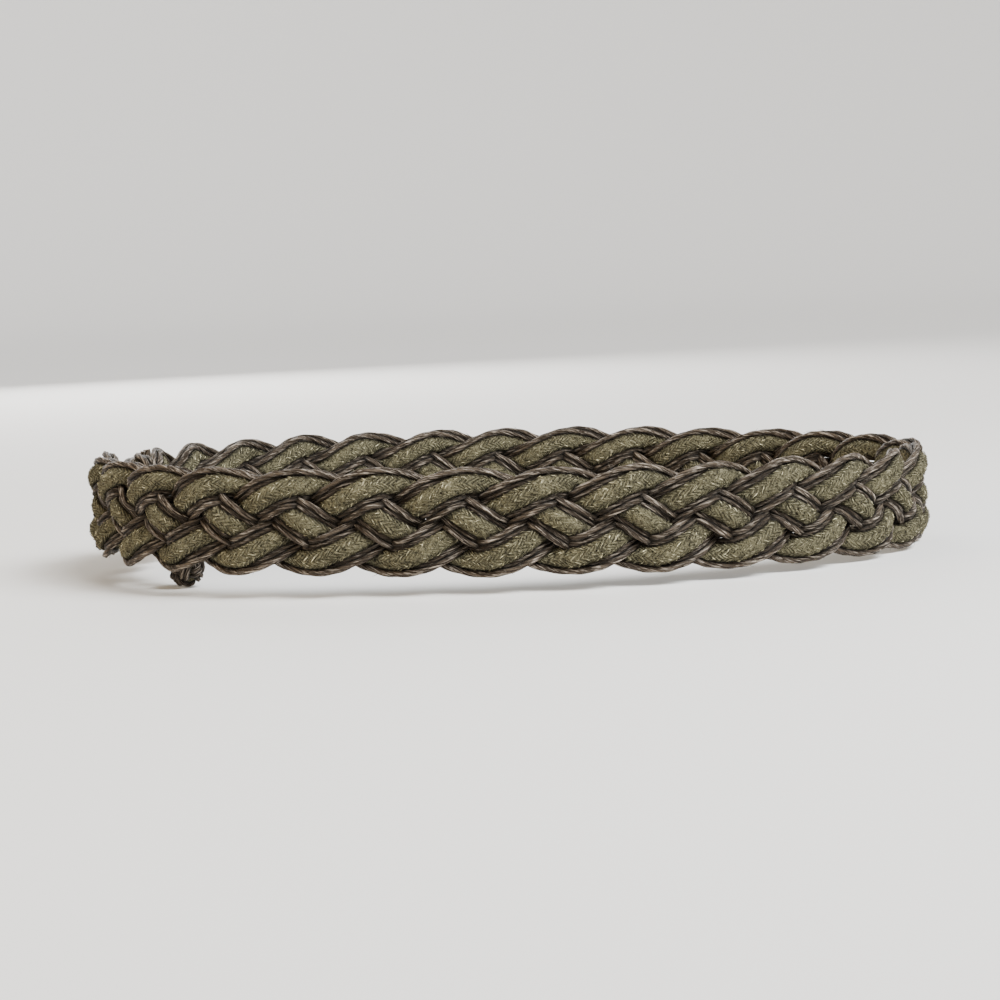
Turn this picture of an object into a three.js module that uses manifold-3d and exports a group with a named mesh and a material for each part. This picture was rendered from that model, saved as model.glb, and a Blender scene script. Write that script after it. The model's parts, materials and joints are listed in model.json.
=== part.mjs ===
// A flat braided cord belt, fastened round a waist. Millimetres, +Z up, the belt's front towards -Y.
// Four strands run the whole belt, each over one and under one. The belt's outer end laps over its
// inner end at the left of the front, where a round knot on the inner end hangs in a cord loop.
import * as THREE from 'three';
import { mergeVertices } from 'three/addons/utils/BufferGeometryUtils.js';
import Module from 'manifold-3d';

// The oval that the belt runs round, as half axes of the waist opening
const WAIST_HALF_WIDTH = 126.7;
const WAIST_HALF_DEPTH = 96.7;

// The flat braid
const BRAID_HEIGHT = 34;
const BRAID_THICKNESS = 12.6;
const STRAND_COUNT = 4;
const LAY_LENGTH = 106.4; // along the belt, for one strand's full turn
const STEPS_PER_LAY = 20;
const LOBE_PEAK_LENGTH = 16.5; // along the belt, from the front's middle to the next top lobe's peak

// Where the braid starts and ends, as angles round the oval from the front's middle towards -X
const INNER_END_ANGLE = -288;
const OUTER_END_ANGLE = 104;

// Towards each end the braid draws in to a smaller one, which the bindings hold
const TAPER_LENGTH = 18;
const END_SCALE = 0.72;

// The lap: how far the outer layer stands off the oval, and where it swings out
const LAP_STEP = 13;
const LAP_START_ANGLE = 6;
const LAP_FULL_ANGLE = 54;

// A strand's path and section over one lay. Each row is one wave: how many turns it makes in a lay,
// and its size. Height and the three sections are cosine waves, depth and tilt are sine waves.
const HEIGHT_WAVES = [
  { turns: 1, size: 11.45 },
  { turns: 3, size: 0.6 },
];
const DEPTH_WAVES = [
  { turns: 1, size: 0.81 },
  { turns: 3, size: 3.69 },
  { turns: 5, size: -0.43 },
  { turns: 7, size: 0.1 },
];
const TILT_WAVES = [
  { turns: 2, size: 9.9 },
  { turns: 4, size: -24.8 },
  { turns: 6, size: -3 },
];
const WIDTH_WAVES = [
  { turns: 0, size: 9.9 },
  { turns: 2, size: 0.8 },
  { turns: 4, size: -0.9 },
];
const CORE_THICKNESS_WAVES = [
  { turns: 0, size: 4.7 },
  { turns: 4, size: 0.45 },
];
const CORD_PAIR_WIDTH = 3; // the two thin cords along each side of a strand
const CORD_THICKNESS = 1.5;

// Wound bindings at the belt's two ends
const BINDING_LENGTH = 11;
const BINDING_HEIGHT = 25.5;
const BINDING_THICKNESS = 10.4;
const BINDING_CORNER_RADIUS = 4;
const BINDING_CORNER_STEPS = 3;
// Its size along it, as shares of its length and of its full section
const BINDING_STOPS = [
  { share: 0, scale: 0.93 },
  { share: 0.15, scale: 1 },
  { share: 0.5, scale: 1 },
  { share: 0.85, scale: 1 },
  { share: 1, scale: 0.93 },
];

// The knot on the inner end
const KNOT_RADIUS = 6.3;
const KNOT_DROP = 1.3; // of its middle, below the belt's lower edge
const KNOT_ANGLE = 58;
const KNOT_STEPS = 8; // from the ball's foot to its neck
const NECK_RADIUS = 2.3;
const NECK_TOP_HEIGHT = 14;

// The cord loop round the knot's neck
const LOOP_CORD_RADIUS = 1;
const LOOP_REACH = 7; // from the neck's middle outwards, to the outer layer's back
const LOOP_PLACE = 0.62; // along the neck, as a share of its length from the knot up
const LOOP_STEPS = 18;
const LOOP_CURVE_SEGMENTS = 4;
// The loop's bend behind the neck, from one side to the other, as shares of its bend radius
const LOOP_BEND = [
  { side: 1, out: 0.5 },
  { side: 0.75, out: -0.8 },
  { side: 0, out: -1.15 },
  { side: -0.75, out: -0.8 },
  { side: -1, out: 0.5 },
];

// Cut cord tips on the outer binding: place along the binding, radius, height over it and lean
const TIPS = [
  { along: -2.1, radius: 0.8, height: 1.5, lean: 8 },
  { along: 0.1, radius: 0.8, height: 2, lean: -5 },
  { along: 4, radius: 1.2, height: 2.4, lean: -8 },
];
const TIP_ROOT = 3; // of each tip's length, inside the binding

const GAP = 0.3; // between pieces that touch
const FULL_CIRCLE = 360;
const ROUND_SIDES = 10;
const SLOPE_REACH = 0.05; // to each side of where a direction is taken, in degrees or millimetres
const UP = new THREE.Vector3(0, 0, 1);

// Materials

const softCord = new THREE.MeshStandardMaterial({ color: 0x6f674f, roughness: 0.95, metalness: 0 });
const waxedCord = new THREE.MeshStandardMaterial({ color: 0x6a6053, roughness: 0.6, metalness: 0 });

// The belt's path

const ovalHalfWidth = WAIST_HALF_WIDTH + BRAID_THICKNESS / 2;
const ovalHalfDepth = WAIST_HALF_DEPTH + BRAID_THICKNESS / 2;

// Middle line of the braid at an angle round the oval. Past LAP_START_ANGLE it is the outer layer,
// which swings out to run clear of the inner one.
function pathPoint(degrees) {
  const angle = THREE.MathUtils.degToRad(degrees);
  const ovalNormal = new THREE.Vector3(
    -ovalHalfDepth * Math.sin(angle),
    -ovalHalfWidth * Math.cos(angle),
    0,
  ).normalize();
  const standOff = LAP_STEP * THREE.MathUtils.smoothstep(degrees, LAP_START_ANGLE, LAP_FULL_ANGLE);
  return new THREE.Vector3(
    -ovalHalfWidth * Math.sin(angle),
    -ovalHalfDepth * Math.cos(angle),
    BRAID_HEIGHT / 2,
  ).addScaledVector(ovalNormal, standOff);
}

// The same point with the direction out of the belt there
function pathAt(degrees) {
  const along = pathPoint(degrees + SLOPE_REACH).sub(pathPoint(degrees - SLOPE_REACH));
  return {
    point: pathPoint(degrees),
    outward: new THREE.Vector3().crossVectors(UP, along).normalize(),
  };
}

// Length along the path from the front's middle, tabled once at even angles
const PATH_STEP = 0.25;
const PATH_MARGIN = 12;
const pathTable = [];
const firstAngle = INNER_END_ANGLE - PATH_MARGIN;
const lastAngle = OUTER_END_ANGLE + PATH_MARGIN;
for (let angle = firstAngle; angle <= lastAngle; angle += PATH_STEP) {
  const last = pathTable.at(-1);
  const point = pathPoint(angle);
  const length = last ? last.length + point.distanceTo(last.point) : 0;
  pathTable.push({ angle, point, length });
}
const frontRow = pathTable.find((row) => row.angle >= 0);
for (const row of pathTable) {
  row.fromFront = row.length - frontRow.length;
}

function lookUp(value, from, to) {
  const after = Math.max(1, pathTable.findIndex((row) => row[from] >= value));
  const a = pathTable[after - 1];
  const b = pathTable[after];
  return THREE.MathUtils.mapLinear(value, a[from], b[from], a[to], b[to]);
}

const angleAtLength = (length) => lookUp(length, 'fromFront', 'angle');
const lengthAtAngle = (angle) => lookUp(angle, 'angle', 'fromFront');

// The strands

const braidStart = lengthAtAngle(INNER_END_ANGLE);
const braidEnd = lengthAtAngle(OUTER_END_ANGLE);

// The braid's size there, as a share of its full size
function taperAt(length) {
  const fromEnd = Math.min(length - braidStart, braidEnd - length);
  return THREE.MathUtils.lerp(END_SCALE, 1, THREE.MathUtils.smoothstep(fromEnd, 0, TAPER_LENGTH));
}

function sumWaves(rows, shape, angle) {
  return rows.reduce((sum, row) => sum + row.size * shape(row.turns * angle), 0);
}

const layAngle = (strand, length) =>
  2 * Math.PI * ((length - LOBE_PEAK_LENGTH) / LAY_LENGTH + strand / STRAND_COUNT);

// A strand's middle: it swings up and down the belt, and in and out through its thickness
function strandPoint(strand, length) {
  const turn = layAngle(strand, length);
  const scale = taperAt(length);
  const { point, outward } = pathAt(angleAtLength(length));
  return point
    .addScaledVector(outward, scale * sumWaves(DEPTH_WAVES, Math.sin, turn))
    .addScaledVector(UP, scale * sumWaves(HEIGHT_WAVES, Math.cos, turn));
}

function strandDirection(strand, length) {
  const ahead = strandPoint(strand, length + SLOPE_REACH);
  return ahead.sub(strandPoint(strand, length - SLOPE_REACH)).normalize();
}

// A strand's section: flat at the cords on its two sides, thick at the soft cord in its middle
function strandRing(strand, length) {
  const turn = layAngle(strand, length);
  const scale = taperAt(length);
  const halfWidth = scale * sumWaves(WIDTH_WAVES, Math.cos, turn) / 2;
  const coreHalfWidth = halfWidth - scale * CORD_PAIR_WIDTH;
  const coreHalf = scale * sumWaves(CORE_THICKNESS_WAVES, Math.cos, turn) / 2;
  const cordHalf = scale * CORD_THICKNESS / 2;
  const section = [
    [halfWidth, cordHalf],
    [coreHalfWidth, coreHalf],
    [-coreHalfWidth, coreHalf],
    [-halfWidth, cordHalf],
    [-halfWidth, -cordHalf],
    [-coreHalfWidth, -coreHalf],
    [coreHalfWidth, -coreHalf],
    [halfWidth, -cordHalf],
  ];
  const middle = strandPoint(strand, length);
  const forward = strandDirection(strand, length);
  const across = UP.clone().addScaledVector(forward, -forward.z).normalize();
  const outward = new THREE.Vector3().crossVectors(across, forward);
  const tilt = THREE.MathUtils.degToRad(sumWaves(TILT_WAVES, Math.sin, turn));
  return section.map(([u, v]) => middle.clone()
    .addScaledVector(across, u * Math.cos(tilt) - v * Math.sin(tilt))
    .addScaledVector(outward, u * Math.sin(tilt) + v * Math.cos(tilt)));
}

// A closed solid through a row of rings of equally many points, with flat ends
function solidThroughRings(rings) {
  const sides = rings[0].length;
  const positions = rings.flat().flatMap((point) => point.toArray());
  const faces = [];
  for (let ring = 0; ring < rings.length - 1; ring += 1) {
    for (let side = 0; side < sides; side += 1) {
      const a = ring * sides + side;
      const b = ring * sides + (side + 1) % sides;
      faces.push(a, a + sides, b, b, a + sides, b + sides);
    }
  }
  const lastRing = (rings.length - 1) * sides;
  for (let side = 1; side < sides - 1; side += 1) {
    faces.push(0, side, side + 1);
    faces.push(lastRing, lastRing + side + 1, lastRing + side);
  }
  const geometry = new THREE.BufferGeometry();
  geometry.setAttribute('position', new THREE.Float32BufferAttribute(positions, 3));
  geometry.setIndex(faces);
  geometry.computeVertexNormals();
  return geometry;
}

// Slides an end ring's points along the strand, into the plane across the belt where the braid ends
function squareOff(ring, strand, length) {
  const forward = strandDirection(strand, length);
  const { point: end, outward } = pathAt(angleAtLength(length));
  const beltWay = new THREE.Vector3().crossVectors(outward, UP);
  for (const point of ring) {
    point.addScaledVector(forward, end.clone().sub(point).dot(beltWay) / forward.dot(beltWay));
  }
}

function strandGeometry(strand) {
  const steps = Math.round((braidEnd - braidStart) * STEPS_PER_LAY / LAY_LENGTH);
  const rings = [];
  for (let step = 0; step <= steps; step += 1) {
    rings.push(strandRing(strand, THREE.MathUtils.lerp(braidStart, braidEnd, step / steps)));
  }
  squareOff(rings[0], strand, braidStart);
  squareOff(rings[steps], strand, braidEnd);
  return solidThroughRings(rings);
}

// The wound bindings: a rounded bar that follows the path just past an end of the braid

function bindingRing(length, scale) {
  const { point, outward } = pathAt(angleAtLength(length));
  const cornerU = BINDING_HEIGHT / 2 - BINDING_CORNER_RADIUS;
  const cornerV = BINDING_THICKNESS / 2 - BINDING_CORNER_RADIUS;
  const ring = [];
  for (const [signU, signV, startAngle] of [[1, 1, 0], [-1, 1, 90], [-1, -1, 180], [1, -1, 270]]) {
    for (let step = 0; step < BINDING_CORNER_STEPS; step += 1) {
      const turned = startAngle + 90 * step / (BINDING_CORNER_STEPS - 1);
      const angle = THREE.MathUtils.degToRad(turned);
      const u = (signU * cornerU + BINDING_CORNER_RADIUS * Math.cos(angle)) * scale;
      const v = (signV * cornerV + BINDING_CORNER_RADIUS * Math.sin(angle)) * scale;
      ring.push(point.clone().addScaledVector(UP, u).addScaledVector(outward, v));
    }
  }
  return ring;
}

function bindingGeometry(from, to) {
  const rings = BINDING_STOPS.map(({ share, scale }) => {
    const length = THREE.MathUtils.lerp(from, to, share);
    return bindingRing(length, scale);
  });
  return solidThroughRings(rings);
}

// Joining solids into one body

const manifold = await Module();
manifold.setup();

function toSolid(geometry) {
  const bare = geometry.clone();
  bare.deleteAttribute('normal');
  bare.deleteAttribute('uv');
  const merged = mergeVertices(bare);
  return new manifold.Manifold(new manifold.Mesh({
    numProp: 3,
    vertProperties: merged.attributes.position.array,
    triVerts: Uint32Array.from(merged.index.array),
  }));
}

function fromSolid(solid) {
  const mesh = solid.getMesh();
  const geometry = new THREE.BufferGeometry();
  geometry.setAttribute('position', new THREE.BufferAttribute(mesh.vertProperties, 3));
  geometry.setIndex(new THREE.BufferAttribute(mesh.triVerts, 1));
  geometry.computeVertexNormals();
  return geometry;
}

// The outer binding, with cut cord tips that stand up out of it behind the belt's top edge

function outerBindingGeometry() {
  const from = braidEnd + GAP;
  const middle = from + BINDING_LENGTH / 2;
  let solid = toSolid(bindingGeometry(from, from + BINDING_LENGTH));
  for (const tip of TIPS) {
    const { point, outward } = pathAt(angleAtLength(middle + tip.along));
    const lean = THREE.MathUtils.degToRad(tip.lean);
    const length = tip.height + TIP_ROOT;
    const cord = new THREE.CylinderGeometry(tip.radius, tip.radius, length, ROUND_SIDES);
    cord.translate(0, (tip.height - TIP_ROOT) / 2, 0);
    cord.rotateX(Math.PI / 2);
    cord.applyQuaternion(new THREE.Quaternion().setFromAxisAngle(outward, lean));
    cord.translate(point.x, point.y, point.z + BINDING_HEIGHT / 2);
    solid = solid.add(toSolid(cord));
  }
  return fromSolid(solid);
}

// The knot: a round ball and the straight neck that it hangs on, turned about one axis

const knotPoint = pathPoint(KNOT_ANGLE - FULL_CIRCLE).setZ(-KNOT_DROP);
const innerBindingEnd = braidStart - GAP;
const innerBindingStart = innerBindingEnd - BINDING_LENGTH;
const neckTop = pathPoint(angleAtLength(innerBindingStart - NECK_RADIUS)).setZ(NECK_TOP_HEIGHT);
const neckLength = neckTop.distanceTo(knotPoint);
const neckDirection = neckTop.clone().sub(knotPoint).normalize();

function knotMesh() {
  const profile = [];
  const neckStart = Math.asin(NECK_RADIUS / KNOT_RADIUS);
  for (let step = 0; step <= KNOT_STEPS; step += 1) {
    const angle = THREE.MathUtils.lerp(Math.PI, neckStart, step / KNOT_STEPS);
    const reach = new THREE.Vector2(Math.sin(angle), Math.cos(angle));
    profile.push(reach.multiplyScalar(KNOT_RADIUS));
  }
  profile[0].x = 0;
  profile.push(new THREE.Vector2(NECK_RADIUS, neckLength));
  profile.push(new THREE.Vector2(0, neckLength));
  const mesh = new THREE.Mesh(new THREE.LatheGeometry(profile, ROUND_SIDES + 2), waxedCord);
  mesh.name = 'end_knot';
  mesh.position.copy(knotPoint);
  mesh.quaternion.setFromUnitVectors(new THREE.Vector3(0, 1, 0), neckDirection);
  return mesh;
}

// The keeper loop: a cord bent round the inner side of the neck, with its ends at the outer layer

function keeperLoopGeometry() {
  const neckMiddle = knotPoint.clone().lerp(neckTop, LOOP_PLACE);
  const outward = pathAt(KNOT_ANGLE - FULL_CIRCLE).outward;
  const sideways = new THREE.Vector3().crossVectors(neckDirection, outward).normalize();
  const bend = NECK_RADIUS + LOOP_CORD_RADIUS + 2 * GAP;
  const place = (side, out) => neckMiddle.clone()
    .addScaledVector(sideways, side)
    .addScaledVector(outward, out);
  const route = new THREE.CatmullRomCurve3([
    place(bend, LOOP_REACH),
    ...LOOP_BEND.map(({ side, out }) => place(bend * side, bend * out)),
    place(-bend, LOOP_REACH),
  ]);
  const section = new THREE.Shape();
  section.absarc(0, 0, LOOP_CORD_RADIUS, 0, 2 * Math.PI);
  return new THREE.ExtrudeGeometry(section, {
    extrudePath: route,
    steps: LOOP_STEPS,
    curveSegments: LOOP_CURVE_SEGMENTS,
  });
}

// Assembly

function namedMesh(name, geometry, material) {
  const mesh = new THREE.Mesh(geometry, material);
  mesh.name = name;
  return mesh;
}

const belt = new THREE.Group();
for (let strand = 0; strand < STRAND_COUNT; strand += 1) {
  belt.add(namedMesh(`strand_${strand + 1}`, strandGeometry(strand), softCord));
}
const innerBinding = bindingGeometry(innerBindingStart, innerBindingEnd);
belt.add(namedMesh('inner_binding', innerBinding, waxedCord));
belt.add(namedMesh('outer_binding', outerBindingGeometry(), waxedCord));
belt.add(knotMesh());
belt.add(namedMesh('keeper_loop', keeperLoopGeometry(), waxedCord));

// The belt stands on its lower edge, and on the knot that hangs below it: it leans up at the knot
const knotSide = knotPoint.clone().setZ(0);
const knotReach = knotSide.length();
const leanAxis = new THREE.Vector3().crossVectors(knotSide.normalize(), UP);
const leanAngle = Math.asin((KNOT_RADIUS + KNOT_DROP) / (2 * knotReach));
belt.quaternion.setFromAxisAngle(leanAxis, leanAngle);

// Origin: the middle of the footprint, on the surface that the belt stands on
const part = new THREE.Group();
part.add(belt);
part.updateMatrixWorld(true);
const bounds = new THREE.Box3().setFromObject(part, true);
const footprint = bounds.getCenter(new THREE.Vector3()).setZ(bounds.min.z);
belt.position.sub(footprint);

export default part;
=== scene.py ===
# A flat braided cord belt, closed round a waist and standing on its lower edge.
# Four strands, each a thick felted cord with two thin waxed cords along each side, are settled
# against each other first, then laid along the belt's oval and its lap. The sizes of the braid are
# in millimetres, and placeOnBelt turns them into metres in the part's own frame.

import json
import math

import bmesh
import bpy
import numpy as np
from mathutils import Matrix, Quaternion, Vector

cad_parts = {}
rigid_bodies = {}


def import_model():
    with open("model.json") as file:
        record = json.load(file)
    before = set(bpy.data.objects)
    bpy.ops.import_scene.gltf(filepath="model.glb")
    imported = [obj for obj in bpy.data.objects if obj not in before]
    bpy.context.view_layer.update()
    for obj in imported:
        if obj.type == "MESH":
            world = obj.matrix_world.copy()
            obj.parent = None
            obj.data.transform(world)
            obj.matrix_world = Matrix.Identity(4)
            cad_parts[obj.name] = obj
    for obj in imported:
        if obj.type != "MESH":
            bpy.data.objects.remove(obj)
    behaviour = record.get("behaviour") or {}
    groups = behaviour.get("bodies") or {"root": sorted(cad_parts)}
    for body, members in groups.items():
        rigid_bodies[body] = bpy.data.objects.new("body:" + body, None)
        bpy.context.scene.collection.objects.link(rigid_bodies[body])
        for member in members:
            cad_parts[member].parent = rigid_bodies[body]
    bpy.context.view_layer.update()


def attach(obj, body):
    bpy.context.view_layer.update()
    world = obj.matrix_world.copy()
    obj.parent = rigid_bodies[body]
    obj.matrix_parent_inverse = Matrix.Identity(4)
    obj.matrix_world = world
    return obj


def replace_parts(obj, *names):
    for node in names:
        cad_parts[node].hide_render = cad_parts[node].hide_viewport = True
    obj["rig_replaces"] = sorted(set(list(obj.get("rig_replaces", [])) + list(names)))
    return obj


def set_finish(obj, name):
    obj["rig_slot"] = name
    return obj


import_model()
mm = 0.001
scene = bpy.context.scene


def smoothStep(value, low, high):
    share = np.clip((value - low) / (high - low), 0, 1)
    return share * share * (3 - 2 * share)


def sumWaves(rows, shape, angle):
    return sum(size * shape(turns * angle) for turns, size in rows)


# A smooth, seeded wander along a cord: three slow waves that never fall in step
def wander(seed, lengths, wavelength, size):
    random = np.random.default_rng(seed)
    total = 0
    for stretch in (1, 0.61, 0.37):
        phase = random.uniform(0, 2 * math.pi)
        total = total + np.sin(2 * math.pi * lengths / (wavelength * stretch) + phase)
    return size * total / 2


# The belt's line

beltLine = {
    "halfWidth": 133.0,  # of the oval that the middle of the braid runs round
    "halfDepth": 103.0,
    "middleHeight": 17.0,
    "innerEnd": -288.0,  # degrees round the oval, from the front's middle towards -X
    "outerEnd": 104.0,
    "margin": 12.0,
    "tableStep": 0.25,
    "lapStep": 13.0,  # how far the outer layer stands off the oval
    "lapStart": 6.0,
    "lapFull": 54.0,
    "lean": (0.9998850049, -0.0066058356, 0.0136506381, 0.0),  # up a little at the knot
    "shift": (5.9250943, -0.3772890, 3.8077994),
}


def linePoints(degrees):
    angle = np.radians(degrees)
    normal = np.stack([-beltLine["halfDepth"] * np.sin(angle), -beltLine["halfWidth"] * np.cos(angle)], 1)
    normal /= np.linalg.norm(normal, axis=1)[:, None]
    standOff = beltLine["lapStep"] * smoothStep(degrees, beltLine["lapStart"], beltLine["lapFull"])
    oval = np.stack([-beltLine["halfWidth"] * np.sin(angle), -beltLine["halfDepth"] * np.cos(angle)], 1)
    return oval + normal * standOff[:, None]


lineDegrees = np.arange(
    beltLine["innerEnd"] - beltLine["margin"],
    beltLine["outerEnd"] + beltLine["margin"] + beltLine["tableStep"] / 2,
    beltLine["tableStep"],
)
lineMiddle = linePoints(lineDegrees)
lineAlong = np.gradient(lineMiddle, axis=0)
lineAlong /= np.linalg.norm(lineAlong, axis=1)[:, None]
lineOut = np.stack([-lineAlong[:, 1], lineAlong[:, 0]], 1)
lineLength = np.concatenate([[0], np.cumsum(np.linalg.norm(np.diff(lineMiddle, axis=0), axis=1))])
lineLength -= np.interp(0, lineDegrees, lineLength)
beltTurn = np.array(Quaternion(beltLine["lean"]).to_matrix())
beltShift = np.array(beltLine["shift"])


def lengthAt(degrees):
    return float(np.interp(degrees, lineDegrees, lineLength))


def onLine(lengths, columns):
    return np.stack([np.interp(lengths, lineLength, column) for column in columns.T], -1)


# Points given by their length along the belt, how far out of it and how far over its middle
def placeOnBelt(lengths, depth, height):
    flat = onLine(lengths, lineMiddle) + onLine(lengths, lineOut) * np.asarray(depth)[..., None]
    upright = np.broadcast_to(beltLine["middleHeight"] + height, flat.shape[:-1])
    return (np.concatenate([flat, upright[..., None]], -1) @ beltTurn.T + beltShift) * mm


# Settling the braid

braid = {
    "strands": 4,
    "layLength": 106.4,  # along the belt, between two top lobes of one strand
    "firstPeak": 16.5,
    "heightWaves": ((1, 11.3), (3, 0.65)),  # rows of waves in a lay, and size
    "depthWaves": ((1, 0.70), (3, 3.30), (5, -0.43), (7, 0.1)),
    "tiltWaves": ((2, 9.9), (4, -24.8), (6, -3.0)),
    "tiltShare": 0.6,
    "taperLength": 22.0,
    "endScale": 0.76,
    "boundScale": 0.60,  # inside the bindings
    "boundLength": 4.0,  # how far into a binding that is reached
    "bindingGap": 0.3,
    "bindingLength": 11.0,
    "cutEnd": (0.8, 3.2),  # how far the cut cords stand out of a binding, least and most
    "coreRadius": 2.96,
    "coreSwell": 0.02,  # more at the lobes, less where strands cross in the middle
    "thinRadius": 1.02,
    "thinTaper": 0.8,  # the power of the taper that thin cords follow
    "stackIn": (50, -8),  # degrees past a lobe's peak over which its edge pair stacks, and unstacks
    "stackOut": (-74, -50),
    # The near and the far cord of an edge pair, in their radii off the core: across it and out of
    # the belt, each as its place beside the core and its change when stacked
    "edgePlaces": (((0.95, -0.20), (0.0, -1.0)), ((2.80, -1.85), (0.05, 0.90))),
    "sampleStep": 1.33,
    "contactReach": 9.0,
    "contactShare": 0.95,  # cords give a little where they press
    "settleRounds": 45,
    "push": 0.45,
    "pushedBy": 1.6,  # cords that push at one spot, on average
    "coreGive": 0.6,  # how readily a core moves, beside a thin cord
    "tension": 0.14,
    "hold": 0.03,
    "turnWander": (190, 0.05),  # wavelength and size
    "heightWander": (83, 0.28),
    "slackWander": (47, 0.16),
    "seed": 11,
    "seedStep": 100,  # from strand to strand
}

braidStart = lengthAt(beltLine["innerEnd"])
braidEnd = lengthAt(beltLine["outerEnd"])
boundEnd = braid["bindingGap"] + braid["bindingLength"]
lengths = np.arange(
    braidStart - boundEnd - braid["cutEnd"][1],
    braidEnd + boundEnd + braid["cutEnd"][1],
    braid["sampleStep"],
)
fromEnd = np.minimum(lengths - braidStart, braidEnd - lengths)
taper = (
    braid["boundScale"]
    + (braid["endScale"] - braid["boundScale"]) * smoothStep(fromEnd, -braid["boundLength"], 0)
    + (1 - braid["endScale"]) * smoothStep(fromEnd, 0, braid["taperLength"])
)
cordKinds = ("core", "upNear", "upFar", "downNear", "downFar")
thinRadii = braid["thinRadius"] * taper ** braid["thinTaper"]


def coreRadius(turn):
    return taper * (braid["coreRadius"] + braid["coreSwell"] * np.cos(2 * turn))


def strandSeed(strand):
    return braid["seed"] + braid["seedStep"] * strand


def strandTurn(strand):
    turn = (lengths - braid["firstPeak"]) / braid["layLength"] + strand / braid["strands"]
    return 2 * np.pi * turn + wander(strandSeed(strand), lengths, *braid["turnWander"])


# Which way is up and which is out of the belt, both square to a line along it
def upAndOut(middle):
    along = np.gradient(middle, lengths, axis=0)
    along /= np.linalg.norm(along, axis=1)[:, None]
    up = np.array([0, 1, 0]) - along * along[:, 1:2]
    up /= np.linalg.norm(up, axis=1)[:, None]
    out = np.cross(up, along)
    return up, out * np.sign(out[:, 2:3])


# Where a strand's five cords would lie if nothing pressed on them: along it, up and out
def looseStrand(strand):
    seed = strandSeed(strand)
    turn = strandTurn(strand)
    height = taper * sumWaves(braid["heightWaves"], np.cos, turn)
    depth = taper * sumWaves(braid["depthWaves"], np.sin, turn)
    height = height + wander(seed + 1, lengths, *braid["heightWander"])
    middle = np.stack([lengths, height, depth], 1)
    up, out = upAndOut(middle)
    tilt = np.radians(sumWaves(braid["tiltWaves"], np.sin, turn)) * braid["tiltShare"]
    across = up * np.cos(tilt)[:, None] + out * np.sin(tilt)[:, None]
    through = out * np.cos(tilt)[:, None] - up * np.sin(tilt)[:, None]
    core, thin = coreRadius(turn), thinRadii
    cords = [middle]
    for side in (1, -1):
        # Past its lobe's peak the edge pair lies one over the other, until the strand has dived under
        bend = np.degrees(np.arctan2(np.sin(turn), side * np.cos(turn)))
        stacked = smoothStep(bend, *braid["stackIn"]) * smoothStep(bend, *braid["stackOut"])
        for beside, outwards in braid["edgePlaces"]:
            reach = core + thin * (beside[0] + beside[1] * stacked)
            rise = thin * (outwards[0] + outwards[1] * stacked)
            cords.append(middle + across * (side * reach)[:, None] + through * rise[:, None])
    even = []
    for index, cord in enumerate(cords):
        slack = [wander(seed + 10 * index + axis, lengths, *braid["slackWander"]) * (index > 0)
                 for axis in (3, 4)]
        even.append(np.stack([
            np.interp(lengths, cord[:, 0], cord[:, 1]) + slack[0],
            np.interp(lengths, cord[:, 0], cord[:, 2]) + slack[1],
        ], 1))
    return np.stack(even)


# Cords that cross or touch push each other off, and their own stiffness smooths them
def settleCords(loose, radii):
    cords = loose.astype(np.float32)
    rest = cords.copy()
    count, samples = cords.shape[:2]
    reach = (radii[:, None] + radii[None]).astype(np.float32) * braid["contactShare"]
    softness = np.where(np.arange(count) % len(cordKinds) == 0, braid["coreGive"], 1.0)[:, None, None]
    apart = ~np.eye(count, dtype=bool)[:, :, None]
    window = int(braid["contactReach"] / braid["sampleStep"])
    place = np.arange(samples)
    for _ in range(braid["settleRounds"]):
        push = np.zeros_like(cords)
        deepest = 0
        for shift in range(-window, window + 1):
            beside = (place + shift >= 0) & (place + shift < samples)
            gap = cords[:, None] - np.roll(cords, -shift, axis=1)[None]
            sideways = (gap ** 2).sum(-1)
            distance = np.sqrt(sideways + (shift * braid["sampleStep"]) ** 2) + 1e-6
            press = np.clip(reach - distance, 0, None) * apart * beside
            deepest = max(deepest, float(press.max()))
            push += ((press * 0.5 / distance)[..., None] * gap).sum(1)
        cords += braid["push"] * push * softness / braid["pushedBy"]
        slack = (np.roll(cords, 1, axis=1) + np.roll(cords, -1, axis=1)) / 2 - cords
        slack[:, [0, -1]] = 0
        cords += braid["tension"] * slack + braid["hold"] * (rest - cords)
    print(f"braid settled, {count} cords, deepest press {deepest:.2f} mm")
    return cords


loose = np.concatenate([looseStrand(strand) for strand in range(braid["strands"])])
cordRadii = np.concatenate([
    [coreRadius(strandTurn(strand)), *[thinRadii] * 4] for strand in range(braid["strands"])
])
settled = settleCords(loose, cordRadii)


# Making cords

def sectionPoints(sides, lobes=0, lobeDepth=0.0, thick=1.0, tall=1.0):
    angle = 2 * np.pi * np.arange(sides) / sides
    reach = 1 + lobeDepth * np.cos(lobes * angle)
    return np.stack([thick * reach * np.cos(angle), tall * reach * np.sin(angle)], 1)


# Values for each cord's rings, in the order of a swept mesh: the caps come first, the last cord's
# first of all, and then each cord's rings
def capsFirst(rings):
    caps = [ring[[-1, 0]] for ring in rings[::-1]]
    return np.concatenate(caps + rings).ravel().astype(np.float32)


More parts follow.
